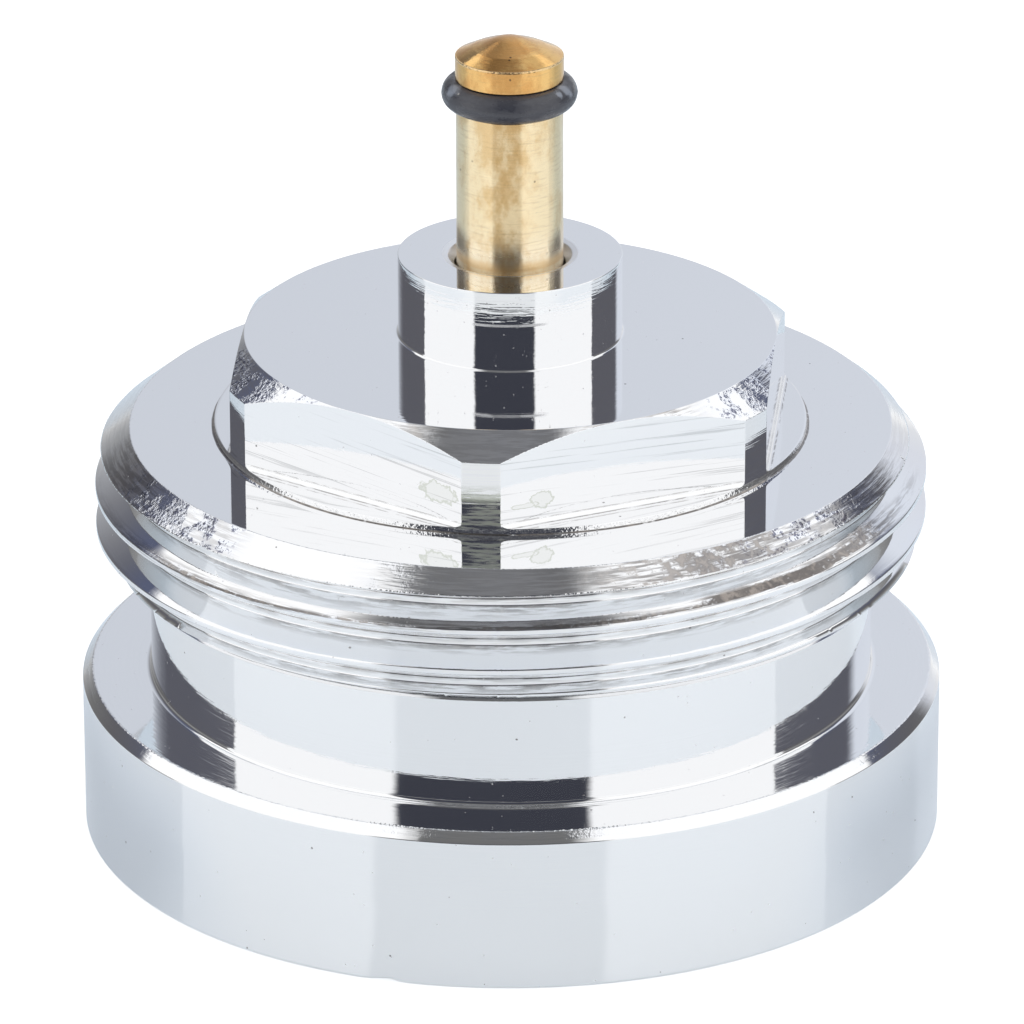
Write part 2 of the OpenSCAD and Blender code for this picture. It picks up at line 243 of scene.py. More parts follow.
def body_grid():
    """The whole skin of the body as rows of (r, z) over the columns phi: up the outside from the lower
    face to the boss, down through the guide bore and the chamber, and out over the valve thread. The last
    column lies on the first. Where a thread climbs one pitch a turn, it starts that many rows later."""
    phi, alpha = columns_for_hexagon()
    n = len(phi)
    kept = {"r": [], "z": [], "cut": [], "torn": [], "edge": [], "soil_and_shade": [], "milled": [], "rings": []}

    def add(r, z, cut, torn=0.0, edge=0.0, soil_and_shade=0.0, milled=0.0, rings=0.0, later=0):
        r, z = (v if np.ndim(v) == 2 else np.reshape(v, (1, n) if np.size(v) == n else (-1, 1))
                for v in (r, z))
        shape = (max(len(r), len(z)), n)
        joined = np.clip(np.arange(shape[0]) + later, 0, shape[0] - 1)
        for key, value in zip(kept, (r, z, cut, torn, edge, soil_and_shade, milled, rings)):
            value = np.broadcast_to(value, shape)
            kept[key].append(np.concatenate([value, value[joined, :1]], 1))

    def line(corners, cut, longest=1.5, steps=3, torn=0.0, edge=0.0, soil_and_shade=0.0, rings=0.0):
        points = filled(rounded(corners, steps), longest)
        add(points[:, 0], points[:, 1], cut, torn, edge, soil_and_shade, rings=rings)

    line([(VALVE_MOUTH_R + 0.03, 0, 0), (RING_R - FOOT_EDGE, 0, 0.06), (RING_R, FOOT_EDGE, 0.06),
          (RING_R, 3.0, 0)], 0.1)
    line([(RING_R, 3.1, 0), (RING_R, RING_TOP - RING_EDGE, 0.05), (RING_R - 0.1, RING_TOP - 0.25, 0)], 0.3)
    patchy = 0.5 + 0.35 * ripple(phi, 7, (3, 5, 8, 13))
    add(*between(RING_R - 0.10, RING_TOP - 0.25, RING_R - RING_EDGE + 0.03, RING_TOP - 0.03, [0.1, 0.5, 1.0]),
        patchy, 0.5 * patchy)
    line([(RING_R - RING_EDGE, RING_TOP - 0.008, 0), (RING_R - RING_EDGE - 0.04, RING_TOP, 0)], 0.8, edge=0.6)
    line([(RING_R - RING_EDGE - 0.08, RING_TOP, 0), (RING_R - 0.6, RING_TOP, 0)], 0.5)
    line([(RING_R - 0.65, RING_TOP, 0), (NECK_R, RING_TOP, NECK_FILLET), (NECK_R, 8, 0)], 0.3, 1.0, 6,
         rings=0.25)
    line([(NECK_R, 8.1, 0), (NECK_R, COLLAR_Z, 0.02), (ROOT_R - 0.02, COLLAR_Z, 0)], 0.15, 1.0, 3)
    *collar, pitch_rows = outside_thread(phi)
    add(*collar, later=pitch_rows)
    line([(FLANGE_R + 0.012, FLANGE_Z - 0.004, 0), (FLANGE_R - 0.015, FLANGE_Z, 0)], 0.5, edge=0.5)
    line([(FLANGE_R - 0.04, FLANGE_Z, 0), (BAR_R + 0.12, FLANGE_Z, 0)], 0.1, 1.0)
    # The crease at the bar's foot is darkened brown.
    line([(BAR_R + 0.09, FLANGE_Z, 0), (BAR_R + 0.02, FLANGE_Z + 0.03, 0.03)], 0.1, 1.0, 2, soil_and_shade=0.9)
    line([(BAR_R + 0.015, FLANGE_Z + 0.05, 0), (BAR_R, FLANGE_Z + 0.12, 0.05), (BAR_R, LEDGE_Z - 0.07, 0),
          (BAR_R - 0.01, LEDGE_Z - 0.025, 0)], 0.2, edge=0.28, rings=1.0)

    reach = FLAT_R / np.cos(alpha)
    flat = reach < BAR_R
    milled = flat.astype(float)
    near = np.minimum(BAR_R - 0.012, (FLAT_R + CUTTER_R) / np.cos(alpha))
    add(*between(BAR_R - 0.012, LEDGE_Z - 0.002, near, LEDGE_Z, [0.0, 0.1, 0.5, 1.0]), 0.1)
    turn = np.linspace(0, math.pi / 2, 7)[1:]
    for t in turn:
        u = FLAT_R + CUTTER_R * (1 - math.sin(t))
        # The first and last rows of the fillet are darkened brown.
        add(np.minimum(u / np.cos(alpha), BAR_R), np.full(n, LEDGE_Z + CUTTER_R * (1 - math.cos(t))),
            0.2, soil_and_shade=0.8 * (t < 0.3) + 0.55 * (t > 1.5), milled=milled * math.sin(t), rings=1 - milled)
    wall_r = np.minimum(reach, BAR_R)
    top_z = HEX_Z - (wall_r - HEX_FACE_R) * math.tan(HEX_SLOPE)
    foot_z = LEDGE_Z + CUTTER_R
    add(*between(wall_r, foot_z + 0.02, wall_r, top_z - 0.012, [0.0, 0.33, 0.67, 1.0]), 0.2, milled=milled,
        rings=1 - milled)
    bite = 0.012 / np.maximum(wall_r - HEX_FACE_R, 0.05)
    add(*between(wall_r, top_z, HEX_FACE_R, HEX_Z, [0.0]), 0.6, 0.3, 0.7)
    side = smoothstep(np.abs(np.abs(np.degrees(phi)) - 64), 26, 14)
    stain = np.interp(np.degrees(phi), *np.array(CONE_STAIN).T)
    for s in (0.0, 0.3, 0.6, 1.0):
        share = bite + (1 - 2 * bite) * s
        add(wall_r + (HEX_FACE_R - wall_r) * share, top_z + (HEX_Z - top_z) * share, 0.4 + 0.4 * side,
            0.15 + 0.6 * side, soil_and_shade=stain)
    line([(HEX_FACE_R, HEX_Z, 0), (HEX_FACE_R - 0.02, HEX_Z, 0), (BOSS_R + 0.2, HEX_Z, 0)], 0.1, 1.5,
         rings=0.12)
    line([(BOSS_R + 0.18, HEX_Z, 0), (BOSS_R, HEX_Z, 0.15), (BOSS_R, 20, 0)], 0.35, 1.5, 6, rings=0.15)
    line([(BOSS_R, 20.3, 0), (BOSS_R, BOSS_Z - 0.12, 0)], 0.3, 0.8, rings=1.0)
    line([(BOSS_R, BOSS_Z - 0.08, 0), (BOSS_R, BOSS_Z, 0.075), (BOSS_R - 0.2, BOSS_Z, 0)], 0.1, 0.8, 5)
    line([(BOSS_R - 0.25, BOSS_Z, 0), (RIM_R + 0.1, BOSS_Z, 0)], 0.1, 0.8)
    line([(RIM_R, BOSS_Z, 0), (RIM_R - 0.03, BOSS_Z - 0.002, 0), (MOUTH_R, BOSS_Z - 0.04, 0.08),
          (BORE_R, BOSS_Z - 0.34, 0.1), (BORE_R, 17, 0), (BORE_R, ROOF_Z + 0.3, 0.05),
          (MOUTH_R, ROOF_Z, 0.03), (CHAMBER_R, ROOF_Z, CHAMBER_CORNER), (CHAMBER_R, SHOULDER_Z, 0.03),
          (VALVE_ROOT_R, SHOULDER_Z, 0.05), (VALVE_ROOT_R, RELIEF_Z + 0.05, 0)], 0.3, 3.0, 4)
    r, z, pitch_rows = inside_thread(phi)
    add(r, z, 0.45, later=-pitch_rows)
    kept = {key: np.concatenate(rows) for key, rows in kept.items()}
    phi, alpha = np.append(phi, phi[0] + TAU), np.append(alpha, alpha[0])
    kept["r"], kept["z"] = nick(phi, kept["r"], kept["z"])
    return phi, alpha, kept


def skin(name, phi, r, z, masks, closed):
    """Mesh of a surface of revolution given as rows of (r, z) over columns phi, with x = r sin phi and
    y = -r cos phi. The last column lies on the first, and rows join end to start if closed. Points that
    coincide are one, and triangles without area are left out. Normals are weighted by area."""
    rows, cols = r.shape
    points = np.stack([r * np.sin(phi), -r * np.cos(phi), z], -1).reshape(-1, 3) * MM
    grid = np.arange(rows * cols).reshape(rows, cols)
    if closed:
        grid = np.concatenate([grid, grid[:1]])
    a, b, c, d = grid[:-1, :-1], grid[1:, :-1], grid[1:, 1:], grid[:-1, 1:]
    tris = np.concatenate([np.stack([a, d, c], -1).reshape(-1, 3), np.stack([a, c, b], -1).reshape(-1, 3)])
    keys = np.round(points / (0.0004 * MM)).astype(np.int64)
    _, first, index = np.unique(keys, axis=0, return_index=True, return_inverse=True)
    index = index.reshape(-1)
    points = points[first]
    tris = index[tris]
    tris = tris[(tris[:, 0] != tris[:, 1]) & (tris[:, 1] != tris[:, 2]) & (tris[:, 2] != tris[:, 0])]
    p = points[tris]
    cross = np.cross(p[:, 1] - p[:, 0], p[:, 2] - p[:, 0])
    keep = np.linalg.norm(cross, axis=1) > 1e-16
    tris, cross = tris[keep], cross[keep]
    normals = np.zeros_like(points)
    for k in range(3):
        np.add.at(normals, tris[:, k], cross)
    length = np.linalg.norm(normals, axis=1, keepdims=True)
    normals = normals / np.maximum(length, 1e-30)

    mesh = bpy.data.meshes.new(name)
    mesh.vertices.add(len(points))
    mesh.vertices.foreach_set("co", points.astype(np.float32).ravel())
    mesh.loops.add(len(tris) * 3)
    mesh.loops.foreach_set("vertex_index", tris.astype(np.int32).ravel())
    mesh.polygons.add(len(tris))
    mesh.polygons.foreach_set("loop_start", np.arange(0, len(tris) * 3, 3, dtype=np.int32))
    mesh.update(calc_edges=True)
    mesh.validate()
    mesh.polygons.foreach_set("use_smooth", np.ones(len(mesh.polygons), bool))
    for key, values in masks.items():
        layer = mesh.attributes.new(key, "FLOAT", "POINT")
        layer.data.foreach_set("value", np.asarray(values, float).reshape(-1)[first].astype(np.float32))
    mesh.normals_split_custom_set_from_vertices(normals.astype(np.float32))
    piece = bpy.data.objects.new(name, mesh)
    bpy.context.scene.collection.objects.link(piece)
    return piece


class Nodes:
    """Short ways to add nodes to one node tree and join them."""

    def __init__(self, tree):
        self.tree = tree
        tree.nodes.clear()

    def new(self, kind, inputs=None, **settings):
        node = self.tree.nodes.new(kind)
        for key, value in settings.items():
            setattr(node, key, value)
        for key, value in (inputs or {}).items():
            if isinstance(value, bpy.types.NodeSocket):
                self.tree.links.new(value, node.inputs[key])
            else:
                node.inputs[key].default_value = value
        return node

    def math(self, operation, *values, clamp=False):
        return self.new("ShaderNodeMath", dict(enumerate(values)), operation=operation,
                        use_clamp=clamp).outputs[0]

    def vector(self, operation, *values):
        node = self.new("ShaderNodeVectorMath", dict(enumerate(values)), operation=operation)
        return node.outputs["Value" if operation in ("LENGTH", "DOT_PRODUCT", "DISTANCE") else "Vector"]

    def step(self, value, low, high, out_low=0.0, out_high=1.0):
        """A smooth change from out_low to out_high as value goes from low to high."""
        return self.new("ShaderNodeMapRange", {"Value": value, "From Min": low, "From Max": high,
                                               "To Min": out_low, "To Max": out_high},
                        interpolation_type="SMOOTHSTEP").outputs["Result"]

    def mix(self, share, a, b, blend="MIX"):
        node = self.new("ShaderNodeMix", data_type="RGBA", blend_type=blend)
        for socket, value in ((node.inputs[0], share), (node.inputs[6], a), (node.inputs[7], b)):
            if isinstance(value, bpy.types.NodeSocket):
                self.tree.links.new(value, socket)
            else:
                socket.default_value = value
        return node.outputs[2]

    def ramp(self, value, stops):
        """A colour ramp through (position, colour) stops."""
        node = self.new("ShaderNodeValToRGB", {"Fac": value})
        elements = node.color_ramp.elements
        while len(elements) < len(stops):
            elements.new(0.5)
        for element, (position, colour) in zip(elements, stops):
            element.position = position
            element.color = colour if len(colour) == 4 else (*colour, 1)
        return node.outputs["Color"]

    def xyz(self, vector):
        return self.new("ShaderNodeSeparateXYZ", {0: vector}).outputs

    def join(self, x, y, z):
        return self.new("ShaderNodeCombineXYZ", {0: x, 1: y, 2: z}).outputs[0]

    def noise(self, vector, scale, detail=2.0, rough=0.5, w=None):
        inputs = {"Vector": vector, "Scale": scale, "Detail": detail, "Roughness": rough}
        if w is not None:
            inputs["W"] = w
        return self.new("ShaderNodeTexNoise", inputs,
                        noise_dimensions="4D" if w is not None else "3D").outputs["Fac"]


def grey(v, tint=(1, 1, 1)):
    return (v * tint[0], v * tint[1], v * tint[2], 1)


def turning_group():
    """Node group of lathe marks: fine rings round the Z axis that change with radius and height, and only
    slowly round the axis. Puts out their height, from 0 to 1."""
    group = bpy.data.node_groups.new("lathe_marks", "ShaderNodeTree")
    for label, kind, where, value in (("Fineness", "NodeSocketFloat", "INPUT", 9.0),
                                      ("Streak", "NodeSocketFloat", "INPUT", 1.5),
                                      ("Height", "NodeSocketFloat", "OUTPUT", 0.0)):
        socket = group.interface.new_socket(name=label, in_out=where, socket_type=kind)
        if where == "INPUT":
            socket.default_value = value
    n = Nodes(group)
    inputs = n.new("NodeGroupInput").outputs
    place = n.new("ShaderNodeTexCoord").outputs["Object"]
    x, y, z = n.xyz(place)[:3]
    radius = n.math("SQRT", n.math("ADD", n.math("MULTIPLY", x, x), n.math("MULTIPLY", y, y)))
    safe = n.math("MAXIMUM", radius, 1e-5)
    streak = inputs["Streak"]
    round_x = n.math("MULTIPLY", n.math("DIVIDE", x, safe), streak)
    round_y = n.math("MULTIPLY", n.math("DIVIDE", y, safe), streak)
    deep = n.math("MULTIPLY", n.math("MULTIPLY", radius, 1000.0), inputs["Fineness"])
    high = n.math("MULTIPLY", n.math("MULTIPLY", z, 1000.0), inputs["Fineness"])
    marks = n.noise(n.join(round_x, round_y, deep), 1.0, 2.0, 0.6, w=high)
    out = n.new("NodeGroupOutput")
    group.links.new(marks, out.inputs["Height"])
    return group


def pit_group():
    """Node group of small pits or grains: a few ragged dots scattered in space. Puts out 1 inside a dot, 0
    outside."""
    group = bpy.data.node_groups.new("small_pits", "ShaderNodeTree")
    for label, where, value in (("Spacing", "INPUT", 900.0), ("Size", "INPUT", 0.12), ("Share", "INPUT", 0.3),
                                ("Pit", "OUTPUT", 0.0)):
        socket = group.interface.new_socket(name=label, in_out=where, socket_type="NodeSocketFloat")
        if where == "INPUT":
            socket.default_value = value
    n = Nodes(group)
    inputs = n.new("NodeGroupInput").outputs
    place = n.new("ShaderNodeTexCoord").outputs["Object"]
    ragged = n.new("ShaderNodeTexNoise", {"Vector": place, "Scale": 9000.0, "Detail": 0.0}).outputs["Color"]
    place = n.vector("ADD", place, n.vector("MULTIPLY", ragged, (4e-5, 4e-5, 4e-5)))
    cells = n.new("ShaderNodeTexVoronoi", {"Vector": place, "Scale": inputs["Spacing"]})
    chosen = n.math("LESS_THAN", n.xyz(cells.outputs["Color"])[0], inputs["Share"])
    near = n.math("SUBTRACT", 1.0, n.math("DIVIDE", cells.outputs["Distance"], inputs["Size"]), clamp=True)
    out = n.new("NodeGroupOutput")
    group.links.new(n.math("MULTIPLY", chosen, n.math("MULTIPLY", near, 2.5, clamp=True)), out.inputs["Pit"])
    return group


LATHE = turning_group()
PITS = pit_group()


def dried_drops(n, x, z, across, milled):
    """Masks of two drops that dried beside the front corner: rings in the plane of the flats, ragged, and a
    smear on the strip between them. across counts millimetres from a flat's middle, plus 40 a flat."""
    place = n.new("ShaderNodeTexCoord").outputs["Object"]
    ragged = n.math("MULTIPLY", n.math("SUBTRACT", n.noise(place, 2800.0, 3.0, 0.65), 0.5), 1.5)
    total = None
    for centre, height, wide, tall in ((203.74, 16.43, 0.72, 0.36), (-3.12, 16.2, 0.42, 0.3),
                                       (-3.75, 16.05, 0.5, 0.1)):
        u = n.math("DIVIDE", n.math("SUBTRACT", across, centre), wide)
        v = n.math("DIVIDE", n.math("SUBTRACT", n.math("MULTIPLY", z, 1000.0), height), tall)
        far = n.math("SQRT", n.math("ADD", n.math("MULTIPLY", u, u), n.math("MULTIPLY", v, v)))
        far = n.math("ADD", far, ragged)
        rim = n.math("MULTIPLY", n.step(far, 0.75, 0.97), n.step(far, 1.15, 1.0))
        drop = n.math("MAXIMUM", n.math("MULTIPLY", rim, 0.55), n.step(far, 1.1, 0.8, 0.0, 0.16))
        total = drop if total is None else n.math("MAXIMUM", total, drop)
    total = n.math("MULTIPLY", total, milled)
    low = n.math("MULTIPLY", n.step(z, 0.0171, 0.0163), n.step(z, 0.0152, 0.0154))
    strip = n.math("MULTIPLY", n.step(n.math("ABSOLUTE", n.math("ADD", x, 0.00104)), 0.0009, 0.0007),
                   n.math("SUBTRACT", 1.0, milled))
    layers = n.noise(n.vector("MULTIPLY", place, (0.35, 0.35, 3.5)), 2200.0, 2.0, 0.65)
    smear = n.math("MULTIPLY", n.math("MULTIPLY", low, strip), n.step(layers, 0.40, 0.58))
    return total, smear


def nickel():
    """Bright plate over turned and milled brass. Chamfers are streaked and torn, flats carry slanting feed
    lines, and drops have dried on them beside the front corner."""
    material = bpy.data.materials.new("plated_metal")
    material.use_nodes = True
    n = Nodes(material.node_tree)
    place = n.new("ShaderNodeTexCoord").outputs["Object"]
    x, y, z = n.xyz(place)[:3]
    mask = {key: n.new("ShaderNodeAttribute", attribute_name=key).outputs["Fac"]
            for key in ("cut", "torn", "edge", "soil_and_shade", "milled", "rings", "across")}
    milled, across = mask["milled"], mask["across"]

    fine = n.new("ShaderNodeGroup", {"Fineness": 7.0, "Streak": 1.6}, node_tree=LATHE).outputs["Height"]
    short = n.new("ShaderNodeGroup", {"Fineness": 9.0, "Streak": 11.0}, node_tree=LATHE).outputs["Height"]
    slant = n.math("ADD", n.math("MULTIPLY", z, 1000.0),
                   n.math("MULTIPLY", across, n.step(x, -0.0011, -0.0009, 0.084, 0.045)))
    feed = n.noise(n.join(n.math("MULTIPLY", across, 0.12), n.math("MULTIPLY", slant, 7.0), 3.0), 1.0, 3.0, 0.65)
    marks = n.mix(milled, n.join(fine, fine, fine), n.join(feed, feed, feed))
    deep = n.math("ADD", n.math("ADD", 0.16, n.math("MULTIPLY", milled, 0.5)),
                  n.math("MULTIPLY", mask["rings"], 7.0))
    turned = n.new("ShaderNodeBump", {"Distance": n.math("MULTIPLY", deep, 1.0e-6), "Height": n.xyz(marks)[0]})
    streaks = n.new("ShaderNodeBump", {"Distance": n.math("MULTIPLY", n.math("POWER", mask["cut"], 2.0), 2.0e-5),
                                       "Normal": turned.outputs[0], "Height": short})
    grain = n.noise(place, 6500.0, 2.0, 0.65)
    clump = n.step(n.noise(place, 1500.0, 2.0, 0.6), 0.42, 0.56, 0.3, 1.0)
    ripped = n.math("MULTIPLY", mask["torn"], clump)
    torn = n.new("ShaderNodeBump", {"Distance": n.math("MULTIPLY", n.math("POWER", ripped, 2.0), 5.5e-5),
                                    "Normal": streaks.outputs[0], "Height": grain})
    glitter = n.noise(place, 7500.0, 1.0, 0.6)
    burr = n.new("ShaderNodeBump", {"Distance": n.math("MULTIPLY", mask["edge"], 6.0e-5),
                                    "Normal": torn.outputs[0], "Height": glitter})

    line = n.step(feed, 0.57, 0.68)
    colour = n.mix(n.math("MULTIPLY", n.math("MULTIPLY", line, milled), 0.42), (0.90, 0.905, 0.915, 1),
                   (0.35, 0.36, 0.37, 1))
    colour = n.mix(n.math("MULTIPLY", ripped, 0.6), colour, (0.84, 0.89, 1.0, 1))
    speck = n.math("MULTIPLY", n.step(grain, 0.53, 0.58), n.step(ripped, 0.35, 0.8))
    colour = n.mix(n.math("MULTIPLY", speck, 0.85), colour, (0.12, 0.13, 0.22, 1))
    lined = n.math("ADD", 0.6, n.math("MULTIPLY", n.math("SUBTRACT", short, 0.5), 7.0), clamp=True)
    speckle = n.noise(place, 2600.0, 3.0, 0.65)
    # Brown soil from the mask, which also holds the painted shade in the thread's root corners.
    thick = n.math("ADD", mask["soil_and_shade"], n.math("MULTIPLY", n.math("SUBTRACT", speckle, 0.5), 0.9))
    soil_and_shade = n.math("MULTIPLY", mask["soil_and_shade"], n.math("MAXIMUM", lined, n.step(thick, 0.70, 0.86)), clamp=True)
    brown = n.mix(n.step(speckle, 0.46, 0.66), (0.10, 0.082, 0.072, 1), (0.27, 0.23, 0.20, 1))
    colour = n.mix(n.math("MULTIPLY", soil_and_shade, 0.93), colour, brown)
    drops, film = dried_drops(n, x, z, across, milled)
    colour = n.mix(n.math("MAXIMUM", drops, n.math("MULTIPLY", film, 0.8)), colour, (0.48, 0.52, 0.42, 1))
    pit = n.new("ShaderNodeGroup", {"Spacing": 850.0, "Size": 0.045, "Share": 0.45}, node_tree=PITS).outputs[0]
    colour = n.mix(n.math("MULTIPLY", pit, 0.8), colour, (0.22, 0.21, 0.21, 1))
    x_mm, y_mm = n.math("MULTIPLY", x, 1000.0), n.math("MULTIPLY", y, 1000.0)
    reach = n.math("SQRT", n.math("ADD", n.math("MULTIPLY", x_mm, x_mm), n.math("MULTIPLY", y_mm, y_mm)))
    dusty = n.math("MULTIPLY", n.step(reach, 9.4, 4.5), n.step(n.math("ABSOLUTE", x_mm), 3.0, 1.0))
    dust = n.new("ShaderNodeGroup", {"Spacing": 3100.0, "Size": 0.11, "Share": n.math(
        "ADD", 0.10, n.math("MULTIPLY", dusty, 0.45))}, node_tree=PITS).outputs[0]
    broken = n.step(n.noise(place, 700.0, 1.0, 0.5), 0.40, 0.56)
    scratch = n.math("MULTIPLY", n.math("MULTIPLY", n.step(z, 0.02025, 0.02028), n.step(z, 0.02037, 0.02034)),
                     n.math("MULTIPLY", n.step(n.math("ABSOLUTE", x_mm), 1.4, 1.1), n.step(reach, 4.3, 4.1)))
    scratch = n.math("MULTIPLY", scratch, n.math("MAXIMUM", broken, 0.6))
    dust = n.math("MAXIMUM", n.math("MULTIPLY", dust, 0.6), n.math("MULTIPLY", scratch, 0.8))
    film = n.math("MULTIPLY", film, 0.65)
    mouth = n.math("MULTIPLY", n.step(reach, 2.47, 2.40), n.step(z, 0.0205, 0.0210))
    rough = n.math("ADD", 0.035, n.math("ADD", n.math("MULTIPLY", mask["cut"], 0.04),
                                        n.math("ADD", n.math("MULTIPLY", mask["soil_and_shade"], 0.12),
                                               n.math("MULTIPLY", n.math("MAXIMUM", pit, dust), 0.4))))
    rough = n.math("ADD", rough, n.math("MULTIPLY", mouth, 0.32))
    surface = n.new("ShaderNodeBsdfPrincipled", {
        "Base Color": n.mix(dust, colour, (0.80, 0.80, 0.82, 1)),
        "Metallic": n.math("SUBTRACT", 1.0, n.math("MAXIMUM", dust, film)),
        "Roughness": rough, "Normal": burr.outputs[0]})
    out = n.new("ShaderNodeOutputMaterial")
    n.tree.links.new(surface.outputs[0], out.inputs[0])
    return material


def brass():
    """Turned brass: pale straw on the shank, orange on the head, with fine rings, brown and yellow blotches
    that gather in front and under the ring, and pits. A painted dark reflection runs down the middle of the
    shank, and the head's rim is painted paler as a painted highlight."""
    material = bpy.data.materials.new("pin_brass")
    material.use_nodes = True
    n = Nodes(material.node_tree)
    place = n.new("ShaderNodeTexCoord").outputs["Object"]
    x, y, z = n.xyz(place)[:3]
    rings = n.new("ShaderNodeGroup", {"Fineness": 13.0, "Streak": 2.0}, node_tree=LATHE).outputs["Height"]
    cloud = n.noise(n.vector("MULTIPLY", place, (1.0, 1.0, 0.6)), 1300.0, 4.0, 0.68)
    head = n.step(z, 0.0279, 0.0283)
    foot = n.step(z, 0.0234, 0.0215)
    clean = n.mix(head, n.mix(foot, (0.98, 0.81, 0.53, 1), (0.97, 0.86, 0.66, 1)), (0.95, 0.60, 0.23, 1))
    stained = n.mix(head, (0.74, 0.48, 0.20, 1), (0.62, 0.28, 0.08, 1))
    front = n.math("MULTIPLY", n.step(n.math("ABSOLUTE", n.math("ADD", x, 0.0002)), 0.0012, 0.0004),
                   n.step(z, 0.0232, 0.0246, 0.02, 0.13))
    under = n.step(z, 0.0262, 0.0271, 0.0, 0.10)
    more = n.math("ADD", n.math("ADD", cloud, front), under)
    more = n.math("SUBTRACT", more, n.math("MULTIPLY", n.step(x, 0.0003, 0.0012, 0.0, 0.07), head))
    colour = n.mix(n.math("MULTIPLY", n.step(more, 0.44, 0.76), 0.66), clean, stained)
    # Painted dark reflection: a darker band down the middle of the shank, facing the camera.
    painted_dark_reflection = n.math("MULTIPLY", n.step(n.math("ABSOLUTE", n.math("ADD", x, 0.00006)), 0.00060, 0.00036),
                    n.step(z, 0.0280, 0.0275))
    colour = n.mix(n.math("MULTIPLY", painted_dark_reflection, n.step(cloud, 0.35, 0.62, 0.25, 0.60)), colour,
                   n.mix(1.0, colour, (0.76, 0.62, 0.41, 1), "MULTIPLY"))
    lip = n.math("MULTIPLY", n.step(z, 0.02148, 0.02158), n.step(z, 0.02195, 0.02172))
    colour = n.mix(n.math("MULTIPLY", lip, 0.6), colour, (0.86, 0.62, 0.32, 1))
    lined = n.step(rings, 0.52, 0.70, 0.0, 0.24)
    colour = n.mix(lined, colour, (0.55, 0.36, 0.17, 1))
    rim = n.new("ShaderNodeAttribute", attribute_name="edge").outputs["Fac"]
    # Painted highlight: the crown's rim is painted paler.
    colour = n.mix(n.math("MULTIPLY", rim, 0.5), colour, (1.0, 0.80, 0.48, 1))
    pit = n.new("ShaderNodeGroup", {"Spacing": 2300.0, "Size": 0.13, "Share": 0.20}, node_tree=PITS).outputs[0]
    colour = n.mix(n.math("MULTIPLY", pit, n.step(more, 0.50, 0.60, 0.25, 0.9)), colour, (0.16, 0.09, 0.05, 1))
    bump = n.new("ShaderNodeBump", {"Strength": 1.0, "Distance": 3.0e-6, "Height": rings})
    speck = n.noise(place, 9000.0, 2.0, 0.6)
    grain = n.new("ShaderNodeBump", {"Strength": 1.0, "Distance": 1.0, "Normal": bump.outputs[0], "Height":
                                     n.math("MULTIPLY", speck, n.math("ADD", 3.0e-6, n.math("MULTIPLY", rim, 3e-5)))})
    rough = n.math("ADD", n.math("ADD", 0.13, n.math("MULTIPLY", cloud, 0.08)),
                   n.math("SUBTRACT", n.math("MULTIPLY", foot, 0.13), n.math("MULTIPLY", head, 0.04)))
    round_axis = n.new("ShaderNodeTangent", direction_type="RADIAL", axis="Z")
    surface = n.new("ShaderNodeBsdfPrincipled", {
        "Base Color": colour, "Metallic": 1.0, "Roughness": rough, "Anisotropic": 0.9, "Anisotropic Rotation": 0.25,
        "Tangent": round_axis.outputs[0], "Normal": grain.outputs[0]})
    out = n.new("ShaderNodeOutputMaterial")
    n.tree.links.new(surface.outputs[0], out.inputs[0])
    return material


def rubber():
    """Moulded black rubber with a soft grease sheen, a little dust and painted highlights at the upper left and
    right.
    """
    material = bpy.data.materials.new("seal_rubber")
    material.use_nodes = True
    n = Nodes(material.node_tree)
    place = n.new("ShaderNodeTexCoord").outputs["Object"]
    grain = n.noise(place, 6000.0, 3.0, 0.6)
    dust = n.new("ShaderNodeGroup", {"Spacing": 2200.0, "Size": 0.13, "Share": 0.12}, node_tree=PITS).outputs[0]
    x, y, z = n.xyz(place)[:3]
    colour = n.mix(grain, (0.045, 0.047, 0.060, 1), (0.080, 0.083, 0.102, 1))
    colour = n.mix(dust, colour, (0.55, 0.54, 0.52, 1))
    # Painted highlights: three pale bluish patches on the ring's upper front left and right.
    smear = None
    for at_x, at_y, wide in ((-1.95, -0.95, 0.42), (1.93, -0.95, 0.38), (1.75, -1.35, 0.22)):
        far = n.vector("DISTANCE", n.vector("MULTIPLY", place, (1000.0, 1000.0, 1000.0)), (at_x, at_y, 28.0))
        far = n.math("ADD", far, n.math("MULTIPLY", n.math("SUBTRACT", n.noise(place, 3500.0, 3.0, 0.6), 0.5), 0.5))
        painted_highlight_spot = n.step(far, wide, wide * 0.3)
        smear = painted_highlight_spot if smear is None else n.math("MAXIMUM", smear, painted_highlight_spot)
    colour = n.mix(n.math("MULTIPLY", smear, 0.75), colour, (0.40, 0.44, 0.52, 1))
    bump = n.new("ShaderNodeBump", {"Strength": 1.0, "Distance": 3.0e-6, "Height": grain})
    sheen = n.step(n.noise(n.vector("MULTIPLY", place, (1.0, 1.0, 3.0)), 1200.0, 3.0, 0.6), 0.40, 0.62, 0.22, 0.50)
    surface = n.new("ShaderNodeBsdfPrincipled", {
        "Base Color": colour, "Roughness": sheen, "Specular IOR Level": 0.7, "Normal": bump.outputs[0]})
    out = n.new("ShaderNodeOutputMaterial")
    n.tree.links.new(surface.outputs[0], out.inputs[0])
    return material


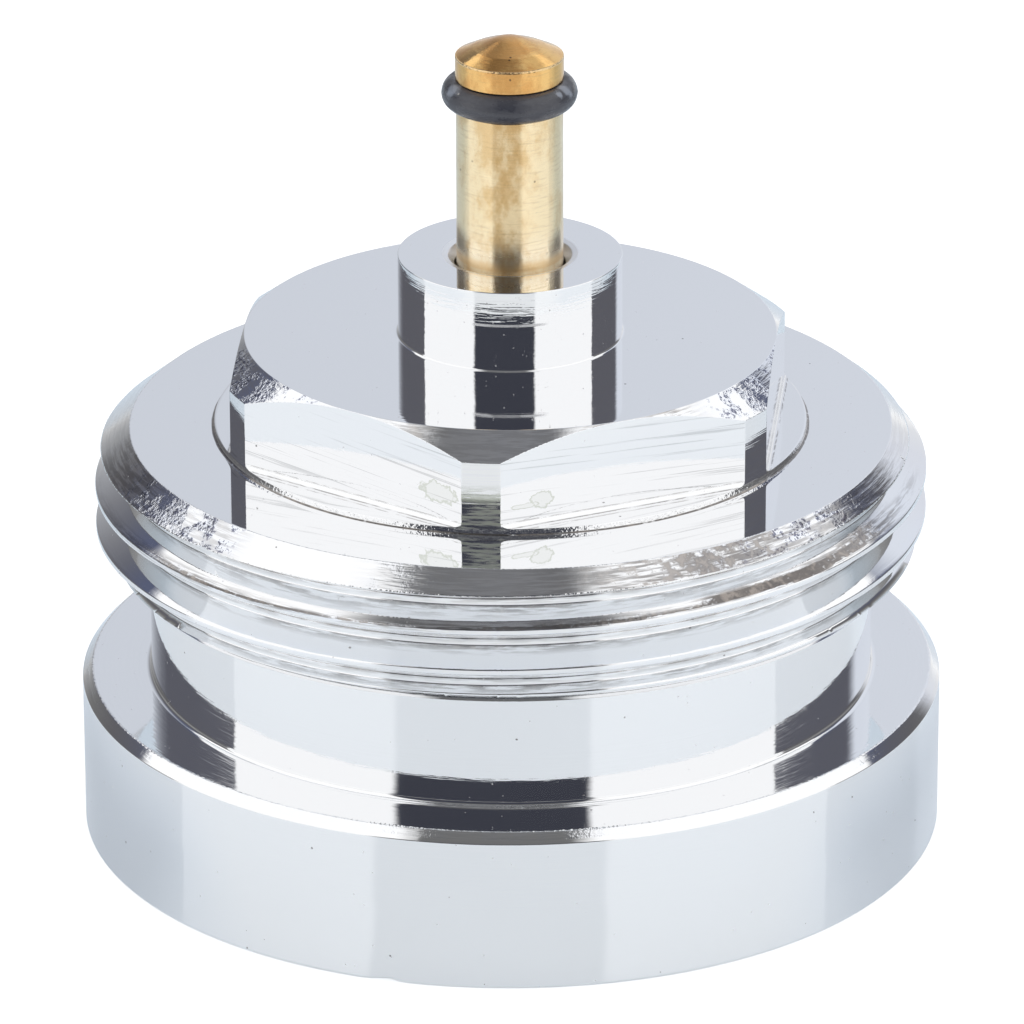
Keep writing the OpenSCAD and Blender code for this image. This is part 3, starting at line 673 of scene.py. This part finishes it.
def studio():
    """Light for shiny metal, as colours over directions: two large white softboxes at the sides, a pale
    backdrop behind, a grey ceiling and the dark of the room round the camera. The camera sees white."""
    world = bpy.data.worlds.new("studio")
    bpy.context.scene.world = world
    world.use_nodes = True
    n = Nodes(world.node_tree)
    way = n.new("ShaderNodeTexCoord").outputs["Generated"]
    x, y, z = n.xyz(n.vector("NORMALIZE", way))[:3]
    degrees = 180 / math.pi
    height = n.math("MULTIPLY", n.math("ARCSINE", z), degrees)
    bearing = n.math("MULTIPLY", n.math("ARCTAN2", x, n.math("MULTIPLY", y, -1.0)), degrees)
    turned = n.math("ABSOLUTE", n.math("ADD", bearing, 3.0))
    room = n.ramp(n.math("DIVIDE", height, 90.0, clamp=True), [
        (0.0, grey(0.05, (0.95, 1, 1.3))), (0.35, grey(0.055, (0.95, 1, 1.3))), (0.72, grey(0.17)),
        (1.0, grey(0.23, (0.97, 0.99, 1.06)))])
    side = n.step(turned, 60.0, 90.0)
    low = n.step(height, 60.0, 30.0)
    flank = n.ramp(n.math("DIVIDE", height, 90.0, clamp=True), [
        (0.0, grey(0.30)), (0.10, grey(0.17)), (0.2, (0.125, 0.122, 0.132)), (0.28, (0.115, 0.118, 0.145)),
        (0.36, (0.105, 0.12, 0.19))])
    room = n.mix(n.math("MULTIPLY", side, low), room, flank)
    behind = n.math("MULTIPLY", n.math("ARCTAN2", x, y), degrees)
    back = n.math("MULTIPLY", n.step(behind, -38.0, -2.0), n.step(behind, 44.0, 34.0))
    back = n.math("MULTIPLY", back, n.step(height, 80.0, 62.0))
    backdrop = n.ramp(n.math("DIVIDE", height, 90.0, clamp=True), [
        (0.0, grey(0.85)), (0.04, grey(0.72, (0.97, 0.99, 1.03))), (0.12, grey(0.68, (0.97, 1, 1.09))),
        (0.24, (0.675, 0.71, 0.78)), (0.6, (0.675, 0.71, 0.78)), (1.0, grey(0.3))])
    slope = n.step(behind, -12.0, 18.0, 0.91, 1.13)
    backdrop = n.vector("SCALE", backdrop)
    backdrop.node.inputs["Scale"].default_value = 1.0
    n.tree.links.new(slope, backdrop.node.inputs["Scale"])
    scene_light = n.mix(back, room, backdrop)
    lower = n.math("MULTIPLY", n.xyz(n.ramp(n.math("DIVIDE", turned, 180.0), [
        (0.0, grey(0.01)), (0.520, grey(0.01)), (0.534, grey(0.285)), (0.65, grey(0.3)), (0.689, grey(0.365)),
        (0.73, grey(0.385)), (0.789, grey(0.40)), (0.85, grey(0.41)), (0.917, grey(0.60)),
        (1.0, grey(0.833))]))[0], 90.0)
    above = n.step(n.math("SUBTRACT", height, lower), -1.5, 1.5)
    front = n.step(n.math("ABSOLUTE", n.math("ADD", bearing, 6.0)), 29.5, 32.5)
    clear = n.math("MAXIMUM", n.math("MULTIPLY", y, -0.6745), 0.255)
    away = n.step(n.math("SUBTRACT", n.math("ABSOLUTE", n.math("ADD", x, 0.045)), clear), -0.06, 0.06)
    away = n.math("MAXIMUM", away, n.step(height, 42.0, 32.0))
    box = n.math("MULTIPLY", n.math("MULTIPLY", above, front), away)
    dim = n.math("MULTIPLY", n.step(turned, 132.0, 142.0), n.step(height, 45.0, 51.0))
    scene_light = n.mix(box, scene_light, n.mix(dim, grey(1.12), grey(0.62)))
    ground = n.step(height, -0.5, -1.5)
    scene_light = n.mix(ground, scene_light, (0.86, 0.90, 0.94, 1))
    light = n.new("ShaderNodeBackground", {"Color": scene_light, "Strength": 1.0})
    white = n.new("ShaderNodeBackground", {"Color": (1, 1, 1, 1), "Strength": 1.0})
    seen = n.new("ShaderNodeLightPath").outputs["Is Camera Ray"]
    both = n.new("ShaderNodeMixShader", {0: seen, 1: light.outputs[0], 2: white.outputs[0]})
    out = n.new("ShaderNodeOutputWorld")
    n.tree.links.new(both.outputs[0], out.inputs[0])


def table_top():
    """A pale, polished table. Metal sees it with its gloss and a painted glow, with painted shade beside and
    behind the object; the camera sees it white, with the shadow.
    """
    mesh = bpy.data.meshes.new("table_top")
    half = 2.5
    mesh.from_pydata([(-half, -half, 0), (half, -half, 0), (half, half, 0), (-half, half, 0)], [], [(0, 1, 2, 3)])
    floor = bpy.data.objects.new("table_top", mesh)
    bpy.context.scene.collection.objects.link(floor)
    material = bpy.data.materials.new("pale_table_with_painted_glow")
    material.use_nodes = True
    n = Nodes(material.node_tree)
    where = n.new("ShaderNodeTexCoord").outputs["Object"]
    fx, fy = n.xyz(where)[:2]
    # Painted shade: the table's colour turns bluer towards the rear.
    rear = n.step(fy, 0.004, 0.030)
    pale = n.new("ShaderNodeBsdfDiffuse", {"Color": n.mix(rear, (0.895, 0.93, 0.96, 1), (0.79, 0.905, 1.0, 1))})
    gloss = n.new("ShaderNodeBsdfGlossy", {"Color": (1, 1, 1, 1), "Roughness": 0.03})
    edge = n.new("ShaderNodeFresnel", {"IOR": 1.38}).outputs[0]
    polished = n.new("ShaderNodeMixShader", {0: edge, 1: pale.outputs[0], 2: gloss.outputs[0]})
    lit = n.new("ShaderNodeBsdfDiffuse", {"Color": (0.85, 0.85, 0.85, 1)})
    own = n.new("ShaderNodeEmission", {"Color": (1, 1, 1, 1), "Strength": 0.62})
    white = n.new("ShaderNodeAddShader", {0: lit.outputs[0], 1: own.outputs[0]})
    seen = n.new("ShaderNodeLightPath").outputs["Is Camera Ray"]
    # Painted shade on the glow: darker and bluer beside the object, darker behind it; far in front it is warmer and a
    # little brighter.
    reach = n.math("SQRT", n.math("ADD", n.math("MULTIPLY", fx, fx), n.math("MULTIPLY", fy, fy)))
    painted_shade_beside = n.math("MULTIPLY", n.step(fy, -0.014, -0.006), n.step(reach, 0.027, 0.018))
    painted_shade = n.math("MULTIPLY", n.math("SUBTRACT", 1.0, n.math("MULTIPLY", painted_shade_beside, 0.6)),
                   n.step(fy, 0.012, 0.034, 1.0, 0.35))
    tint = n.mix(painted_shade_beside, (0.87, 0.935, 0.985, 1), (0.86, 1.12, 1.42, 1))
    far = n.step(fy, -0.034, -0.046)
    tint = n.mix(far, tint, (1.0, 0.995, 0.955, 1))
    strength = n.math("MULTIPLY", painted_shade, n.math("ADD", 0.25, n.math("MULTIPLY", far, 0.05)))
    # A painted glow: the floor emits light for every ray but camera rays, so metal sees it and the object is lit from
    # below.
    painted_glow = n.new("ShaderNodeEmission", {"Color": tint, "Strength": strength})
    floor_with_painted_glow = n.new("ShaderNodeAddShader", {0: polished.outputs[0], 1: painted_glow.outputs[0]})
    both = n.new("ShaderNodeMixShader", {0: seen, 1: floor_with_painted_glow.outputs[0], 2: white.outputs[0]})
    out = n.new("ShaderNodeOutputMaterial")
    n.tree.links.new(both.outputs[0], out.inputs[0])
    mesh.materials.append(material)


def camera():
    """The photograph's camera: it looks along +Y, 22.66 degrees down, with a long lens."""
    tilt, distance, roll = math.radians(22.657), 0.314457, math.radians(-0.166)
    target = Vector((0.0000449, 0, 0.011566))
    back = Vector((0, -math.cos(tilt), math.sin(tilt)))
    right = Vector((1, 0, 0))
    up = back.cross(right)
    right, up = (math.cos(roll) * right + math.sin(roll) * up, math.cos(roll) * up - math.sin(roll) * right)
    data = bpy.data.cameras.new("camera")
    data.sensor_width = 36
    data.lens = 307.46
    data.clip_start, data.clip_end = 0.01, 20
    view = bpy.data.objects.new("camera", data)
    bpy.context.scene.collection.objects.link(view)
    turn = Matrix((right, up, back)).transposed().to_4x4()
    view.matrix_world = Matrix.Translation(target + distance * back) @ turn
    bpy.context.scene.camera = view


def build_body(material):
    phi, alpha, kept = body_grid()
    r, z = kept.pop("r"), kept.pop("z")
    side = np.round((phi - HEX_TURN) / (math.pi / 3)) % 6
    kept["across"] = np.broadcast_to(side * 40 + FLAT_R * np.tan(alpha), r.shape)
    piece = skin("plated_body", phi, r, z, kept, True)
    piece.data.materials.append(material)
    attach(piece, "body")
    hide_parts("adapter_body")
    return piece


def build_pin(material):
    """The push pin, turned: foot, shank, ring groove, head and crowned tip."""
    slope = math.radians(23)
    nose, tip, head_r, crown = 1.6, 29.68, 1.925, 29.0
    arc = np.linspace(math.radians(23), 0, 9)[:-1]
    nose_line = [(nose * math.sin(a), tip - nose * (1 - math.cos(a)), 0) for a in arc]
    line = rounded([(0.02, 11.03, 0), (7.4 / 2, 11.03, 0.05), (4.0, 11.33, 0.05), (4.0, 12.73, 0.05),
                    (3.7, 13.03, 0.05), (1.9, 13.03, 0.1), (1.9, 20, 0), (1.9, 27.08, 0.03),
                    (1.34, 27.08, 0.05), (1.34, 28.17, 0.05), (head_r, 28.17, 0.035),
                    (head_r, crown - 0.06, 0), (head_r, crown, 0.035), (head_r - 0.05, crown + 0.023, 0),
                    (1.3, 29.3, 0.8), nose_line[0]], 4)
    line = filled(np.concatenate([line, np.array(nose_line[1:])[:, :2], [(0.02, tip)]]), 1.0)
    phi = np.linspace(-math.pi, math.pi, 257)
    r = np.repeat(line[:, :1], len(phi), 1)
    z = np.repeat(line[:, 1:], len(phi), 1)
    pole0, pole1 = np.zeros((1, len(phi))), np.zeros((1, len(phi)))
    r = np.concatenate([pole0, r, pole1])
    z = np.concatenate([pole0 + 11.03, z, pole1 + tip])
    # The crown's rim, which brass() paints paler as a painted highlight and roughens with glitter.
    rim = smoothstep(np.hypot(r - head_r, z - crown), 0.05, 0.03)
    piece = skin("brass_pin", phi, r, z, {"edge": rim}, False)
    piece.data.materials.append(material)
    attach(piece, "pin")
    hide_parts("push_pin")
    return piece


def build_ring(material):
    """The rubber ring: a circle of 1.05 mm carried round the pin, with a low moulding seam outside."""
    phi = np.linspace(-math.pi, math.pi, 257)
    t = np.linspace(-math.pi, math.pi, 65)[:-1]
    seam = 0.006 * np.exp(-(t / 0.06) ** 2)
    r = np.repeat((1.885 + (0.525 - 0.006 + seam) * np.cos(t))[:, None], len(phi), 1)
    z = np.repeat((27.626 + (0.525 - 0.004) * np.sin(t))[:, None], len(phi), 1)
    piece = skin("rubber_seal", phi, r, z, {}, True)
    piece.data.materials.append(material)
    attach(piece, "pin")
    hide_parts("rubber_ring")
    return piece


bpy.context.scene.view_settings.view_transform = "Standard"
camera()
studio()
table_top()
build_body(nickel())
build_pin(brass())
build_ring(rubber())
